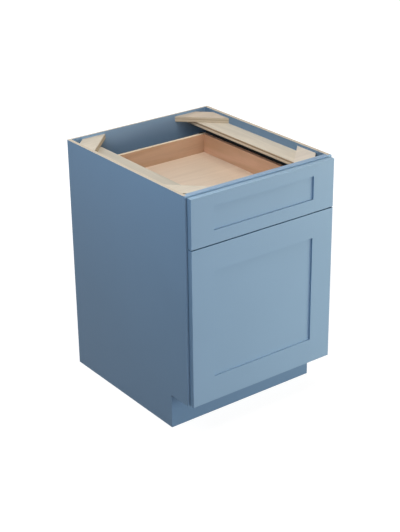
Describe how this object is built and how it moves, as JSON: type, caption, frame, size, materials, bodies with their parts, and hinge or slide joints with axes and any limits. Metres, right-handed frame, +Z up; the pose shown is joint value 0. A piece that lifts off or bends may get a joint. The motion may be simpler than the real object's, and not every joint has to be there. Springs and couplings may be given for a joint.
{
  "type": "kitchen base cabinet",
  "caption": "Framed kitchen base cabinet with a full-extension drawer over a hinged shaker door, open on top for a worktop.",
  "frame": {"origin": "on the floor under the middle of the overall box", "axes": "+Z up, -Y out of the door and drawer front, +X to the right as seen from the front"},
  "size_m": [0.6096, 0.7078, 0.8763],
  "materials": {
    "painted_front_wood": "satin grey-blue paint on solid wood",
    "painted_plywood": "satin grey-blue paint on plywood, raw top edges",
    "raw_plywood": "raw sanded plywood with open ply edges",
    "drawer_wood": "clear satin lacquer",
    "slide_steel": "zinc plated",
    "hinge_nickel": "nickel plated",
    "clear_bumper": "soft clear"
  },
  "bodies": {
    "cabinet": {"back_panel": "painted_plywood", "cabinet_floor": "painted_plywood", "corner_block_back_left": "raw_plywood", "corner_block_back_right": "raw_plywood", "corner_block_front_left": "raw_plywood", "corner_block_front_right": "raw_plywood", "frame_bottom_rail": "painted_front_wood", "frame_left_stile": "painted_front_wood", "frame_middle_rail": "painted_front_wood", "frame_right_stile": "painted_front_wood", "frame_top_rail": "painted_front_wood", "hinge_arm_lower": "hinge_nickel", "hinge_arm_upper": "hinge_nickel", "left_side_panel": "painted_plywood", "left_side_rail": "raw_plywood", "right_side_panel": "painted_plywood", "right_side_rail": "raw_plywood", "shelf": "painted_plywood", "shelf_pins": "hinge_nickel", "slide_cabinet_member_left": "slide_steel", "slide_cabinet_member_right": "slide_steel", "slide_rear_socket_left": "slide_steel", "slide_rear_socket_right": "slide_steel", "toe_kick_board": "painted_plywood"},
    "ball_cages_outer": {"ball_cage_outer_left": "slide_steel", "ball_cage_outer_right": "slide_steel"},
    "slide_middles": {"slide_middle_member_left": "slide_steel", "slide_middle_member_right": "slide_steel"},
    "ball_cages_inner": {"ball_cage_inner_left": "slide_steel", "ball_cage_inner_right": "slide_steel"},
    "drawer": {"drawer_box_back": "drawer_wood", "drawer_box_bottom": "drawer_wood", "drawer_box_front": "drawer_wood", "drawer_box_left_side": "drawer_wood", "drawer_box_right_side": "drawer_wood", "drawer_bumpers": "clear_bumper", "drawer_front_bottom_rail": "painted_front_wood", "drawer_front_left_stile": "painted_front_wood", "drawer_front_panel": "painted_front_wood", "drawer_front_right_stile": "painted_front_wood", "drawer_front_top_rail": "painted_front_wood", "slide_drawer_member_left": "slide_steel", "slide_drawer_member_right": "slide_steel"},
    "door": {"door_bottom_rail": "painted_front_wood", "door_bumpers": "clear_bumper", "door_left_stile": "painted_front_wood", "door_panel": "painted_front_wood", "door_right_stile": "painted_front_wood", "door_top_rail": "painted_front_wood", "hinge_cup_lower": "hinge_nickel", "hinge_cup_upper": "hinge_nickel", "hinge_pins": "hinge_nickel"}
  },
  "joints": [
    {"name": "drawer_slide", "type": "slide", "parent": "cabinet", "child": "drawer", "axis": [0, -1, 0], "range_m": [0, 0.6]},
    {"name": "slide_middle", "type": "slide", "parent": "cabinet", "child": "slide_middles", "axis": [0, -1, 0], "range_m": [0, 0.3]},
    {"name": "outer_cage_roll", "type": "slide", "parent": "cabinet", "child": "ball_cages_outer", "axis": [0, -1, 0], "range_m": [0, 0.15]},
    {"name": "inner_cage_roll", "type": "slide", "parent": "cabinet", "child": "ball_cages_inner", "axis": [0, -1, 0], "range_m": [0, 0.45]},
    {"name": "door_swing", "type": "hinge", "parent": "cabinet", "child": "door", "pos_m": [0.2908, -0.34308, 0.4125], "axis": [0, 0, 1], "range_deg": [0, 105]}
  ],
  "couplings": [
    {"joint": "slide_middle", "follows": "drawer_slide", "ratio": 0.5},
    {"joint": "outer_cage_roll", "follows": "drawer_slide", "ratio": 0.25},
    {"joint": "inner_cage_roll", "follows": "drawer_slide", "ratio": 0.75}
  ]
}
